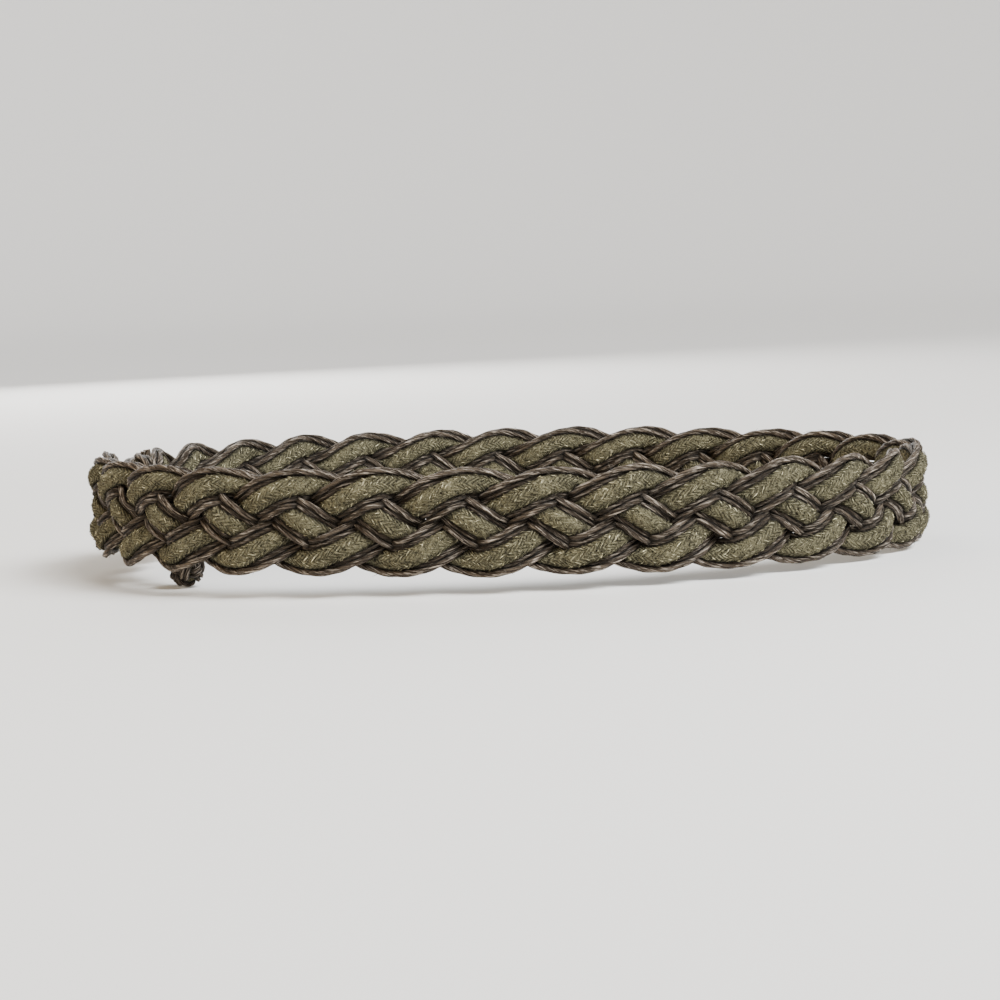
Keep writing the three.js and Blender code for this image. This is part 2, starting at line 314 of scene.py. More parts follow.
# One mesh of cords swept along their routes. Its UV runs once round a cord, and in metres along it.
# With crease finders, its crease attribute holds painted shade, darker the nearer each spot is to
# the next cord, and its way attribute tells which way the cord runs there
def sweepCords(name, routes, section, widths, tilts, twist="Z_UP", creaseShadeFinders=None):
    outline = bpy.data.curves.new(name + "Section", "CURVE")
    outline.dimensions = "2D"
    ring = outline.splines.new("POLY")
    ring.points.add(len(section) - 1)
    ring.points.foreach_set("co", np.insert(section, 2, [[0], [1]], axis=1).astype(np.float32).ravel())
    ring.use_cyclic_u = True
    outlineObject = bpy.data.objects.new(name + "Section", outline)
    curve = bpy.data.curves.new(name + "Curve", "CURVE")
    curve.dimensions = "3D"
    curve.twist_mode = twist
    curve.bevel_mode = "OBJECT"
    curve.bevel_object = outlineObject
    curve.use_fill_caps = True
    for route, width, tilt in zip(routes, widths, tilts):
        spline = curve.splines.new("POLY")
        spline.points.add(len(route) - 1)
        spline.points.foreach_set("co", np.insert(route, 3, 1, axis=1).astype(np.float32).ravel())
        spline.points.foreach_set("radius", np.broadcast_to(width, len(route)).astype(np.float32))
        spline.points.foreach_set("tilt", np.broadcast_to(tilt, len(route)).astype(np.float32))
    swept = bpy.data.objects.new(name + "Curve", curve)
    for piece in (outlineObject, swept):
        scene.collection.objects.link(piece)
    bpy.context.view_layer.update()
    mesh = bpy.data.meshes.new_from_object(swept.evaluated_get(bpy.context.evaluated_depsgraph_get()))
    for piece in (outlineObject, swept):
        bpy.data.objects.remove(piece)
    uv = np.zeros(len(mesh.loops) * 2, np.float32)
    mesh.uv_layers[0].data.foreach_get("uv", uv)
    longest = max(np.linalg.norm(np.diff(route, axis=0), axis=1).sum() for route in routes)
    uv = np.stack([uv[1::2], uv[0::2] * longest], axis=1).ravel()
    mesh.uv_layers[0].data.foreach_set("uv", uv)
    creaseShade = mesh.attributes.new("creaseShade", "FLOAT", "POINT")
    if creaseShadeFinders:
        spots = np.zeros(len(mesh.vertices) * 3, np.float32)
        mesh.vertices.foreach_get("co", spots)
        rows = 2 * len(routes) + np.cumsum([0] + [len(route) for route in routes])
        spots = spots.reshape(-1, len(section), 3)
        shades = [find(spots[first:last]) for find, first, last in zip(creaseShadeFinders, rows, rows[1:])]
        creaseShade.data.foreach_set("value", capsFirst(shades))
        ways = [np.gradient(route, axis=0)[:, None].repeat(len(section), axis=1) for route in routes]
        way = mesh.attributes.new("way", "FLOAT_VECTOR", "POINT")
        way.data.foreach_set("vector", capsFirst(ways))
    mesh.name = name
    piece = bpy.data.objects.new(name, mesh)
    scene.collection.objects.link(piece)
    tidyMesh(piece, mm * 0.01)
    return piece


def tidyMesh(piece, mergeDistance):
    work = bmesh.new()
    work.from_mesh(piece.data)
    bmesh.ops.remove_doubles(work, verts=work.verts, dist=mergeDistance)
    bmesh.ops.recalc_face_normals(work, faces=work.faces)
    for face in work.faces:
        face.smooth = True
    work.to_mesh(piece.data)
    work.free()


# Finer steps along a row of points, on a smooth curve through them
def refine(points, times):
    spots = np.linspace(0, len(points) - 1, (len(points) - 1) * times + 1)
    first = np.clip(np.floor(spots).astype(int), 0, len(points) - 2)
    share = (spots - first)[:, None]
    columns = points.reshape(len(points), -1)
    padded = np.concatenate([2 * columns[:1] - columns[1:2], columns, 2 * columns[-1:] - columns[-2:-1]])
    a, b, c, d = (padded[first + step] for step in range(4))
    smooth = b + share / 2 * (c - a + share * (2 * a - 5 * b + 4 * c - d + share * (3 * (b - c) + d - a)))
    return smooth.reshape((-1,) + points.shape[1:])


# The strands

strandLooks = {
    "coreSides": 26,
    "coreThick": 0.96,  # out of the belt, as a share of its radius
    "coreTall": 1.10,  # across the belt
    "coreLumps": (31, 0.035),  # wavelength and size
    "thinLumps": (23, 0.05),
    "thinSides": 16,
    "thinLobes": 4,
    "thinLobeDepth": 0.13,
    "thinTwistLength": 27.0,
    "seedStep": 7,  # from strand to strand
}
coreSection = sectionPoints(
    strandLooks["coreSides"], thick=strandLooks["coreThick"], tall=strandLooks["coreTall"]
)
thinSection = sectionPoints(
    strandLooks["thinSides"], strandLooks["thinLobes"], strandLooks["thinLobeDepth"]
)


# How far a strand leans over, from where its upper and its lower edge pair lie
def strandTilt(cords):
    up, out = upAndOut(np.stack([lengths, cords[0][:, 0], cords[0][:, 1]], 1))
    apart = (cords[1] + cords[2] - cords[3] - cords[4]) / 2
    apart = np.stack([np.zeros(len(apart)), apart[:, 0], apart[:, 1]], 1)
    return np.arctan2((apart * out).sum(1), (apart * up).sum(1))


# The samples of a cord that is cut a little past each binding
def cutCord(seed):
    random = np.random.default_rng(seed)
    first, last = random.uniform(*braid["cutEnd"], 2)
    return (lengths > braidStart - boundEnd - first) & (lengths < braidEnd + boundEnd + last)


cordLines = np.array([placeOnBelt(lengths, cord[:, 1], cord[:, 0]) for cord in settled], np.float32)

# Painted shade in the creases: spots near the next cord are darkened towards a near-black colour, standing
# in for the shade that falls there
creaseShadeLooks = {
    "reach": 5,  # samples each way in which the nearest cord is looked for
    "open": 1.5,  # off the next cord, where a surface starts to darken
    "closed": 0.15,  # and where it is dark
    "colour": (0.006, 0.0035, 0.0012),
}


# A finder for one cord: painted shade for each spot on its surface, by how deep in the crease beside another
# cord it lies
def creaseShadeFinder(own, kept):
    first = int(np.argmax(kept))

    def find(spots):
        nearest = np.ones(spots.shape[:2], np.float32)
        for shift in range(-creaseShadeLooks["reach"], creaseShadeLooks["reach"] + 1):
            rows = np.clip(np.arange(len(spots)) + first + shift, 0, len(lengths) - 1)
            for other in range(len(cordLines)):
                if other != own:
                    away = np.linalg.norm(spots - cordLines[other, rows][:, None], axis=2)
                    nearest = np.minimum(nearest, away - cordRadii[other, rows][:, None] * mm)
        return smoothStep(nearest, creaseShadeLooks["open"] * mm, creaseShadeLooks["closed"] * mm)

    return find


for strand in range(braid["strands"]):
    first = strand * len(cordKinds)
    cords, routes = (rows[first:first + len(cordKinds)] for rows in (settled, cordLines))
    seed = braid["seed"] + strandLooks["seedStep"] * strand
    kept = [cutCord(seed + index) for index in range(len(cordKinds))]
    finders = [creaseShadeFinder(first + index, kept[index]) for index in range(len(cordKinds))]
    coreWidth = cordRadii[first] * mm
    coreWidth = coreWidth * (1 + wander(seed, lengths, *strandLooks["coreLumps"]))
    core = sweepCords(f"feltCord{strand + 1}", [routes[0][kept[0]]], coreSection, [coreWidth[kept[0]]],
                      [-strandTilt(cords)[kept[0]]], creaseShadeFinders=finders[:1])
    spin = lengths / strandLooks["thinTwistLength"] * 2 * np.pi
    thinRoutes, thinWidths, thinSpins = [], [], []
    for index in range(1, len(cordKinds)):
        width = thinRadii * mm * (1 + wander(seed + index, lengths, *strandLooks["thinLumps"]))
        thinRoutes.append(routes[index][kept[index]])
        thinWidths.append(width[kept[index]])
        thinSpins.append((spin + index)[kept[index]])
    thin = sweepCords(f"thinCords{strand + 1}", thinRoutes, thinSection, thinWidths, thinSpins,
                      creaseShadeFinders=finders[1:])
    for piece, slot in ((core, "soft_cord"), (thin, "waxed_cord")):
        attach(piece, "root")
        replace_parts(piece, f"strand_{strand + 1}")
        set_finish(piece, slot)
print("strands made")


# The bindings: one thin cord wound round each end of the braid

binding = {
    "height": 25.5,
    "thickness": 10.4,
    "squareness": 3.4,
    "cordRadius": 0.95,
    "pitch": 1.93,
    "stepsPerTurn": 48,
    "wobble": (0.9, 0.12),  # in turns, and out of the belt
    "seed": 12,
    "cutTips": (  # along the binding, radius, height over it, lean in degrees, bend out of the belt
        (-2.1, 0.8, 1.5, 8, 0.5),
        (0.1, 0.8, 2.0, -5, -0.4),
        (4.0, 1.2, 2.4, -8, 0.3),
    ),
    "tipRoot": 3.0,
    "tipSteps": 14,
    "tipFlare": 0.18,
    "tipTwistLength": 12.0,
}


def onePoint(length, depth, height):
    return placeOnBelt(np.array([length]), np.array([depth]), np.array([height]))[0]


def spinFor(route, turnLength):
    reach = np.concatenate([[0], np.cumsum(np.linalg.norm(np.diff(route, axis=0), axis=1))])
    return reach / (turnLength * mm) * 2 * np.pi


def woundBinding(name, start, node):
    radius = binding["cordRadius"]
    turns = (braid["bindingLength"] - 2 * radius) / binding["pitch"]
    steps = int(turns * binding["stepsPerTurn"])
    turned = np.linspace(0, turns, steps)
    angle = 2 * np.pi * turned
    power = 2 / binding["squareness"]
    half = binding["height"] / 2 - radius, binding["thickness"] / 2 - radius
    height = half[0] * np.sign(np.cos(angle)) * np.abs(np.cos(angle)) ** power
    depth = half[1] * np.sign(np.sin(angle)) * np.abs(np.sin(angle)) ** power
    depth = depth + wander(binding["seed"], turned, *binding["wobble"])
    route = placeOnBelt(start + radius + turned * binding["pitch"], depth, height)
    piece = sweepCords(name, [route], thinSection, [radius * mm],
                       [spinFor(route, strandLooks["thinTwistLength"])], twist="MINIMUM")
    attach(piece, "root")
    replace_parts(piece, node)
    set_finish(piece, "waxed_cord")


woundBinding("innerWinding", braidStart - boundEnd, "inner_binding")
woundBinding("outerWinding", braidEnd + braid["bindingGap"], "outer_binding")

tipRoutes, tipWidths, tipSpins = [], [], []
for along, radius, height, lean, bow in binding["cutTips"]:
    share = np.linspace(0, 1, binding["tipSteps"])
    rise = share * (height + binding["tipRoot"]) - binding["tipRoot"]
    leaning = math.radians(lean)
    middle = braidEnd + braid["bindingGap"] + braid["bindingLength"] / 2 + along
    route = placeOnBelt(
        middle + rise * math.sin(leaning),
        bow * share ** 2,
        binding["height"] / 2 + rise * math.cos(leaning),
    )
    tipRoutes.append(route)
    tipWidths.append(radius * mm * (1 + binding["tipFlare"] * share ** 4))
    tipSpins.append(spinFor(route, binding["tipTwistLength"]))
tips = sweepCords("cutTips", tipRoutes, thinSection, tipWidths, tipSpins, twist="MINIMUM")
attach(tips, "root")
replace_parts(tips, "outer_binding")
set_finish(tips, "waxed_cord")
print("bindings wound")


# The knot on the belt's inner end, its neck and the loop that keeps it

knot = {
    "drop": 1.3,  # of the ball's middle, below the belt's lower edge
    "angle": 58.0,
    "radius": 6.3,
    "cordRadius": 0.78,
    "twistLength": 15.0,
    "leads": 4,
    "bights": 5,
    "spread": 58.0,  # degrees from the ball's middle to its bights
    "weave": 0.92,  # how far its cords rise over and dip under each other, in their radius
    "steps": 360,
    "fillRadius": 4.9,
    "fillSides": (32, 20),
    "shadeFrom": 6.7,  # off the ball's middle, where painted shade starts in its gaps, and where it is full
    "shadeTo": 5.0,
    "fillShade": 0.5,
    "neckRadius": 2.3,
    "neckRoot": 3.0,  # off the ball's middle
    "neckTop": 14.0,
    "neckEnd": ((-0.4, 0.5), (3, 1.5)),  # its last points, past the braid's cut end and up
    "neckPlies": 3,
    "plyPress": 0.05,
    "plyTwistLength": 10.0,
    "neckTurnLength": 13.0,
    "neckFineness": 15,  # steps between two points
    "loopRadius": 1.0,
    "loopPlace": 0.62,  # up the neck
    "loopAngle": -300.0,
    "loopReach": 7.0,
    "loopBend": ((1, 0.5), (0.75, -0.8), (0, -1.15), (-0.75, -0.8), (-1, 0.5)),  # side and out
    "loopTwistLength": 12.0,
    "loopFineness": 10,
    "gap": 0.3,
}


def placePoint(x, y, z):
    return Vector((np.array([x, y, z]) @ beltTurn.T + beltShift) * mm)


knotX, knotY = linePoints(np.array([knot["angle"] - 360]))[0]
ballMiddle = placePoint(knotX, knotY, -knot["drop"])
innerFree = braidStart - boundEnd
topX, topY = onLine(innerFree - knot["neckRadius"], lineMiddle)
neckTop = placePoint(topX, topY, knot["neckTop"])
neckWay = (neckTop - ballMiddle).normalized()
knotOut = Vector(beltTurn @ np.append(np.array([knotX, knotY]) / math.hypot(knotX, knotY), 0))
knotSide = neckWay.cross(knotOut).normalized()
knotFront = knotSide.cross(neckWay)


# A flat plait of leads and bights, bent round the ball. Two cords follow it, one on each side
def plaitOnBall(offset):
    step = np.linspace(0, 2 * np.pi, knot["steps"], endpoint=False)
    circling = knot["leads"] * step
    rise = math.radians(knot["spread"]) * np.cos(knot["bights"] * step)
    reach = knot["radius"] - knot["cordRadius"] * (1 + knot["weave"])
    reach = reach + knot["weave"] * knot["cordRadius"] * np.sin((knot["leads"] - 1) * knot["bights"] * step)
    around = np.stack([np.cos(rise) * np.cos(circling), np.cos(rise) * np.sin(circling), np.sin(rise)], 1)
    route = around * reach[:, None]
    way = np.roll(route, -1, axis=0) - np.roll(route, 1, axis=0)
    side = np.cross(around, way)
    side /= np.linalg.norm(side, axis=1)[:, None]
    route = route + side * offset * knot["cordRadius"]
    axes = np.array([knotSide, knotFront, neckWay])
    route = route @ axes * mm + np.array(ballMiddle)
    return np.concatenate([route, route[:1]])


# Painted shade on the knot's cords, darker the deeper a spot lies towards the ball's middle
def knotGapShade(spots):
    away = np.linalg.norm(spots - np.array(ballMiddle), axis=-1)
    return smoothStep(away, knot["shadeFrom"] * mm, knot["shadeTo"] * mm)


knotRoutes = [plaitOnBall(-1), plaitOnBall(1)]
knotCords = sweepCords("knotCords", knotRoutes, thinSection, [knot["cordRadius"] * mm] * 2,
                       [spinFor(route, knot["twistLength"]) for route in knotRoutes],
                       twist="MINIMUM", creaseShadeFinders=[knotGapShade] * 2)

# What fills the knot, seen only between its rounds
ballWork = bmesh.new()
bmesh.ops.create_uvsphere(ballWork, u_segments=knot["fillSides"][0], v_segments=knot["fillSides"][1],
                          radius=knot["fillRadius"] * mm)
bmesh.ops.translate(ballWork, verts=ballWork.verts, vec=ballMiddle)
for face in ballWork.faces:
    face.smooth = True
ballMesh = bpy.data.meshes.new("knotFill")
ballWork.to_mesh(ballMesh)
ballWork.free()
# The fill gets an even painted shade, as it lies in the shade inside the knot
ballShade = ballMesh.attributes.new("creaseShade", "FLOAT", "POINT")
ballShade.data.foreach_set("value", np.full(len(ballMesh.vertices), knot["fillShade"], np.float32))
knotFill = bpy.data.objects.new("knotFill", ballMesh)
scene.collection.objects.link(knotFill)

# The neck's plies rise out of the ball, round each other, and bend into the inner binding
bendPoints = [ballMiddle + neckWay * knot["neckRoot"] * mm, ballMiddle.lerp(neckTop, 0.5), neckTop]
bendPoints += [Vector(onePoint(innerFree + past, 0, up)) for past, up in knot["neckEnd"]]
bendLine = refine(np.array(bendPoints), knot["neckFineness"])
plyRadius = knot["neckRadius"] / 2 - knot["plyPress"]
way = np.gradient(bendLine, axis=0)
way /= np.linalg.norm(way, axis=1)[:, None]
side = np.cross(way, np.array(knotFront))
side /= np.linalg.norm(side, axis=1)[:, None]
front = np.cross(side, way)
neckRoutes = []
for ply in range(knot["neckPlies"]):
    spin = spinFor(bendLine, knot["neckTurnLength"]) + 2 * np.pi * ply / knot["neckPlies"]
    offset = side * np.cos(spin)[:, None] + front * np.sin(spin)[:, None]
    neckRoutes.append(bendLine + offset * (knot["neckRadius"] - plyRadius) * mm)
knotNeck = sweepCords("knotNeck", neckRoutes, thinSection, [plyRadius * mm] * knot["neckPlies"],
                      [spinFor(bendLine, knot["plyTwistLength"])] * knot["neckPlies"], twist="MINIMUM")

loopMiddle = ballMiddle.lerp(neckTop, knot["loopPlace"])
bendRadius = knot["neckRadius"] + knot["loopRadius"] + 2 * knot["gap"]
loopEnd = knot["loopReach"] / bendRadius
loopOut = Vector(beltTurn @ np.append(onLine(lengthAt(knot["loopAngle"]), lineOut), 0))
loopSide = neckWay.cross(loopOut).normalized()
loopRoute = refine(np.array([
    loopMiddle + (loopSide * side + loopOut * out) * bendRadius * mm
    for side, out in ((1, loopEnd), *knot["loopBend"], (-1, loopEnd))
]), knot["loopFineness"])
keeper = sweepCords("keeperCord", [loopRoute], thinSection, [knot["loopRadius"] * mm],
                    [spinFor(loopRoute, knot["loopTwistLength"])], twist="MINIMUM")

for piece, node, slot in ((knotCords, "end_knot", "waxed_cord"), (knotFill, "end_knot", "soft_cord"),
                          (knotNeck, "end_knot", "waxed_cord"), (keeper, "keeper_loop", "waxed_cord")):
    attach(piece, "root")
    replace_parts(piece, node)
    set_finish(piece, slot)
print("knot and loop made")


# Finishes. A shared effect is a node group, built once and given each finish's own values

def addNode(tree, kind, inputs=(), **settings):
    made = tree.nodes.new(kind)
    for key, value in settings.items():
        setattr(made, key, value)
    for socket, value in inputs:
        if isinstance(value, bpy.types.NodeSocket):
            tree.links.new(value, made.inputs[socket])
        else:
            made.inputs[socket].default_value = value
    return made


def reckon(tree, operation, *values):
    return addNode(tree, "ShaderNodeMath", enumerate(values), operation=operation).outputs[0]


def ranged(tree, value, low, high, least=0.0):
    return addNode(tree, "ShaderNodeMapRange", (
        ("Value", value), ("From Min", low), ("From Max", high), ("To Min", least)), clamp=True).outputs[0]


def noiseAt(tree, place, scale, detail, roughness=0.5, distortion=0.0):
    return addNode(tree, "ShaderNodeTexNoise", (
        ("Vector", place), ("Scale", scale), ("Detail", detail), ("Roughness", roughness),
        ("Distortion", distortion))).outputs["Fac"]


def newGroup(name, inputs, outputs):
    tree = bpy.data.node_groups.new(name, "ShaderNodeTree")
    for socketName in inputs:
        tree.interface.new_socket(socketName, in_out="INPUT", socket_type="NodeSocketFloat")
    for socketName in outputs:
        tree.interface.new_socket(socketName, in_out="OUTPUT", socket_type="NodeSocketFloat")
    return tree, addNode(tree, "NodeGroupInput"), addNode(tree, "NodeGroupOutput")


def ridge(tree, factor, width):
    return ranged(tree, reckon(tree, "ABSOLUTE", reckon(tree, "SUBTRACT", factor, 0.5)), width, 0.0)


feltNoise = {
    "curls": ((1.0, 0.0), (0.72, 3.1), (1.35, 7.7)),  # share of the fineness, and shift, of each layer
    "curlBend": 1.2,
    "pitShare": 1.2,
    "pitRoughness": 0.65,
    "pitRange": (0.55, 0.43),
    "toneScale": 75.0,
    "toneRange": (0.35, 0.65),
}


# Curly fibres that lie over each other in felt: light lines, pits where the finishes paint shade, and a slow
# change of tone
def feltFibresGroup():
    tree, given, result = newGroup("feltFibres", ("Fineness", "Width"), ("Lines", "Pits", "Tone"))
    place = addNode(tree, "ShaderNodeTexCoord").outputs["Object"]
    lines = []
    for share, shift in feltNoise["curls"]:
        moved = addNode(tree, "ShaderNodeVectorMath", ((0, place), (1, (shift,) * 3)), operation="ADD")
        scale = reckon(tree, "MULTIPLY", given.outputs["Fineness"], share)
        curls = noiseAt(tree, moved.outputs[0], scale, 1.0, distortion=feltNoise["curlBend"])
        lines.append(ridge(tree, curls, given.outputs["Width"]))
    every = reckon(tree, "MAXIMUM", reckon(tree, "MAXIMUM", lines[0], lines[1]), lines[2])
    pitScale = reckon(tree, "MULTIPLY", given.outputs["Fineness"], feltNoise["pitShare"])
    pits = noiseAt(tree, place, pitScale, 3.0, feltNoise["pitRoughness"])
    tone = noiseAt(tree, place, feltNoise["toneScale"], 2.0)
    tree.links.new(every, result.inputs["Lines"])
    tree.links.new(ranged(tree, pits, *feltNoise["pitRange"]), result.inputs["Pits"])
    tree.links.new(ranged(tree, tone, *feltNoise["toneRange"]), result.inputs["Tone"])
    return tree


spunNoise = {
    "roughness": 0.6,
    "streakBend": 0.25,
    "streakRange": (0.40, 0.58),
    "grooveRange": (-0.45, -1.0),
    "fleckScale": 1.4,
    "fleckRange": (0.52, 0.62),
}


# Streaks that run along a spun cord, from its own UV: once round it, and metres along it
def spunStreaksGroup():
    tree, given, result = newGroup("spunStreaks", ("Round", "Along", "Plies"), ("Streak", "Groove", "Fleck"))
    uv = addNode(tree, "ShaderNodeTexCoord").outputs["UV"]
    parts = addNode(tree, "ShaderNodeSeparateXYZ", ((0, uv),))
    angle = reckon(tree, "MULTIPLY", parts.outputs[0], 2 * math.pi)
    place = addNode(tree, "ShaderNodeCombineXYZ", (
        (0, reckon(tree, "MULTIPLY", reckon(tree, "COSINE", angle), given.outputs["Round"])),
        (1, reckon(tree, "MULTIPLY", reckon(tree, "SINE", angle), given.outputs["Round"])),
        (2, reckon(tree, "MULTIPLY", parts.outputs[1], given.outputs["Along"])),
    )).outputs[0]
    streak = noiseAt(tree, place, 1.0, 3.0, spunNoise["roughness"], spunNoise["streakBend"])
    groove = reckon(tree, "COSINE", reckon(tree, "MULTIPLY", angle, given.outputs["Plies"]))
    fleck = noiseAt(tree, place, spunNoise["fleckScale"], 2.0, spunNoise["roughness"])
    tree.links.new(ranged(tree, streak, *spunNoise["streakRange"]), result.inputs["Streak"])
    tree.links.new(ranged(tree, groove, *spunNoise["grooveRange"]), result.inputs["Groove"])
    tree.links.new(ranged(tree, fleck, *spunNoise["fleckRange"]), result.inputs["Fleck"])
    return tree


feltFibres, spunStreaks = feltFibresGroup(), spunStreaksGroup()


def newMaterial(name, roughness, sheen=0.0, specular=0.1, sheenRoughness=0.45):
    material = bpy.data.materials.new(name)
    material.use_nodes = True
    shader = material.node_tree.nodes["Principled BSDF"]
    for socket, value in (("Roughness", roughness), ("Sheen Weight", sheen),
                          ("Sheen Roughness", sheenRoughness), ("Specular IOR Level", specular)):
        shader.inputs[socket].default_value = value
    return material, material.node_tree, shader


def mixColours(tree, factor, first, second):
    mixed = addNode(tree, "ShaderNodeMix", ((0, factor),), data_type="RGBA")
    for index, colour in ((6, first), (7, second)):
        if isinstance(colour, bpy.types.NodeSocket):
            tree.links.new(colour, mixed.inputs[index])
        else:
            mixed.inputs[index].default_value = (*colour, 1)
    return mixed.outputs[2]


def tinted(tree, colour, mask, show, tint):
    return mixColours(tree, reckon(tree, "MULTIPLY", mask, show), colour, tint)


# Painted shade, dark where a cord sinks in between its neighbours
def withCreaseShade(tree, colour, show):
    creaseShade = addNode(tree, "ShaderNodeAttribute", attribute_type="GEOMETRY", attribute_name="creaseShade")
    return tinted(tree, colour, creaseShade.outputs["Fac"], show, creaseShadeLooks["colour"])


def dress(tree, shader, colour, height, bumpDepth):
    bump = addNode(tree, "ShaderNodeBump", (
        ("Strength", 1.0), ("Distance", bumpDepth * mm), ("Height", height)))
    tree.links.new(colour, shader.inputs["Base Color"])
    tree.links.new(bump.outputs[0], shader.inputs["Normal"])


# The plaited cover of the soft cords
cover = {
    "columns": 5,  # pairs of columns round a cord, whose yarns lean against each other
    "strokesRound": 17,
    "strokesAlong": 610,  # in a metre
    "strokeShow": 0.72,
    "bendScale": 260.0,
    "bend": 9.0,
    "patchScale": 110.0,
    "patchRange": (0.38, 0.58),
    "patchLeast": 0.4,  # what is left of the strokes where the cord is felted over
}


# By a spot's UV, the side that its column's yarns lean to, and how far across their strokes it is
def onCover(tree, uv):
    parts = addNode(tree, "ShaderNodeSeparateXYZ", ((0, uv),))
    column = reckon(tree, "MULTIPLY", parts.outputs[0], 2 * math.pi * cover["columns"])
    side = reckon(tree, "SIGN", reckon(tree, "SINE", column))
    around = reckon(tree, "MULTIPLY", parts.outputs[0], 2 * math.pi * cover["strokesRound"])
    onward = reckon(tree, "MULTIPLY", parts.outputs[1], -2 * math.pi * cover["strokesAlong"])
    return side, reckon(tree, "MULTIPLY_ADD", onward, side, around)


# Where the cover gets painted shade: the strokes between its yarns, faint in patches that are felted over
def leaningStrokes(tree):
    uv = addNode(tree, "ShaderNodeUVMap", uv_map="UVMap").outputs[0]
    place = addNode(tree, "ShaderNodeTexCoord").outputs["Object"]
    bend = noiseAt(tree, place, cover["bendScale"], 2.0)
    bent = reckon(tree, "MULTIPLY_ADD", bend, cover["bend"], onCover(tree, uv)[1])
    dark = reckon(tree, "MULTIPLY_ADD", reckon(tree, "SINE", bent), 0.5, 0.5)
    patches = noiseAt(tree, place, cover["patchScale"], 1.0)
    return reckon(tree, "MULTIPLY", dark, ranged(tree, patches, *cover["patchRange"], cover["patchLeast"]))


feltLooks = {
    "fineness": 620.0,
    "width": 0.12,
    "olive": (0.036, 0.030, 0.011),
    "grey": (0.060, 0.052, 0.023),
    # Painted shade, for the felt's pits and the strokes between its cover's yarns
    "recessShade": (0.006, 0.004, 0.001),
    "fibre": (0.400, 0.366, 0.220),
    "fibreShow": 0.70,
    "pitShadeShow": 0.90,
    "creaseShadeShow": 0.98,
    "roughness": 0.95,
    "sheen": 0.02,
    "bumpDepth": 0.8,
}


def feltMaterial():
    material, tree, shader = newMaterial("feltedCord", feltLooks["roughness"], feltLooks["sheen"])
    fibres = addNode(tree, "ShaderNodeGroup", node_tree=feltFibres)
    fibres.inputs["Fineness"].default_value = feltLooks["fineness"]
    fibres.inputs["Width"].default_value = feltLooks["width"]
    lines, pits, strokes = fibres.outputs["Lines"], fibres.outputs["Pits"], leaningStrokes(tree)
    colour = mixColours(tree, fibres.outputs["Tone"], feltLooks["olive"], feltLooks["grey"])
    # Painted shade in the felt's pits and in the strokes between the cover's yarns
    colour = tinted(tree, colour, pits, feltLooks["pitShadeShow"], feltLooks["recessShade"])
    colour = tinted(tree, colour, lines, feltLooks["fibreShow"], feltLooks["fibre"])
    colour = tinted(tree, colour, strokes, cover["strokeShow"], feltLooks["recessShade"])
    height = reckon(tree, "SUBTRACT", reckon(tree, "SUBTRACT", lines, pits), strokes)
    dress(tree, shader, withCreaseShade(tree, colour, feltLooks["creaseShadeShow"]), height, feltLooks["bumpDepth"])
    return material


waxedLooks = {
    "round": 1.8,
    "along": 190.0,
    "dark": (0.020, 0.013, 0.007),
    "middle": (0.100, 0.076, 0.054),
    "light": (0.480, 0.408, 0.330),
    "fleckShow": 0.80,
    "grooveShadeShow": 0.65,
    "creaseShadeShow": 0.97,
    "roughness": 0.50,
    "sheen": 0.02,
    "specular": 0.15,
    "bumpDepth": 0.35,
}


def waxedMaterial():
    material, tree, shader = newMaterial(
        "waxedCord", waxedLooks["roughness"], waxedLooks["sheen"], waxedLooks["specular"])
    spun = addNode(tree, "ShaderNodeGroup", node_tree=spunStreaks)
    spun.inputs["Round"].default_value = waxedLooks["round"]
    spun.inputs["Along"].default_value = waxedLooks["along"]
    spun.inputs["Plies"].default_value = strandLooks["thinLobes"]
    streak, fleck = spun.outputs["Streak"], spun.outputs["Fleck"]
    colour = mixColours(tree, streak, waxedLooks["dark"], waxedLooks["middle"])
    colour = tinted(tree, colour, fleck, waxedLooks["fleckShow"], waxedLooks["light"])
    # Painted shade in the grooves between the plies
    colour = tinted(tree, colour, spun.outputs["Groove"], waxedLooks["grooveShadeShow"], waxedLooks["dark"])
    colour = withCreaseShade(tree, colour, waxedLooks["creaseShadeShow"])
    dress(tree, shader, colour, reckon(tree, "ADD", streak, fleck), waxedLooks["bumpDepth"])
    return material


fuzzLooks = {
    "light": (0.980, 0.900, 0.586),
    "dark": (0.012, 0.009, 0.003),
    "hair": (0.420, 0.380, 0.310),
    "contrast": 1.95,  # above 1, fewer of the fibres are light
    "pitShadeShow": 0.88,
    "creaseShadeShow": 0.94,
    "roughness": 0.9,
    "sheen": 0.03,
}


# Each loose fibre has its own tone, from its tone attribute
def fuzzMaterial(name, light):
    material, tree, shader = newMaterial(name, fuzzLooks["roughness"], fuzzLooks["sheen"])
    tone = addNode(tree, "ShaderNodeAttribute", attribute_type="GEOMETRY", attribute_name="tone")
    share = reckon(tree, "POWER", tone.outputs["Fac"], fuzzLooks["contrast"])
    fibres = addNode(tree, "ShaderNodeGroup", node_tree=feltFibres)
    fibres.inputs["Fineness"].default_value = feltLooks["fineness"]
    fibres.inputs["Width"].default_value = feltLooks["width"]
    colour = mixColours(tree, share, fuzzLooks["dark"], light)
    # Painted shade on fibres that lie over the felt's pits
    colour = tinted(tree, colour, fibres.outputs["Pits"], fuzzLooks["pitShadeShow"], fuzzLooks["dark"])
    tree.links.new(withCreaseShade(tree, colour, fuzzLooks["creaseShadeShow"]), shader.inputs["Base Color"])
    return material


felt, waxed = feltMaterial(), waxedMaterial()
feltFibre, waxedHair = (fuzzMaterial(name, fuzzLooks[colour])
                        for name, colour in (("feltFibre", "light"), ("waxedHair", "hair")))


def finish(piece, material):
    piece.data.materials.clear()
    piece.data.materials.append(material)


# Loose fibres on a cord: one small bent spindle, scattered over its surface and made real

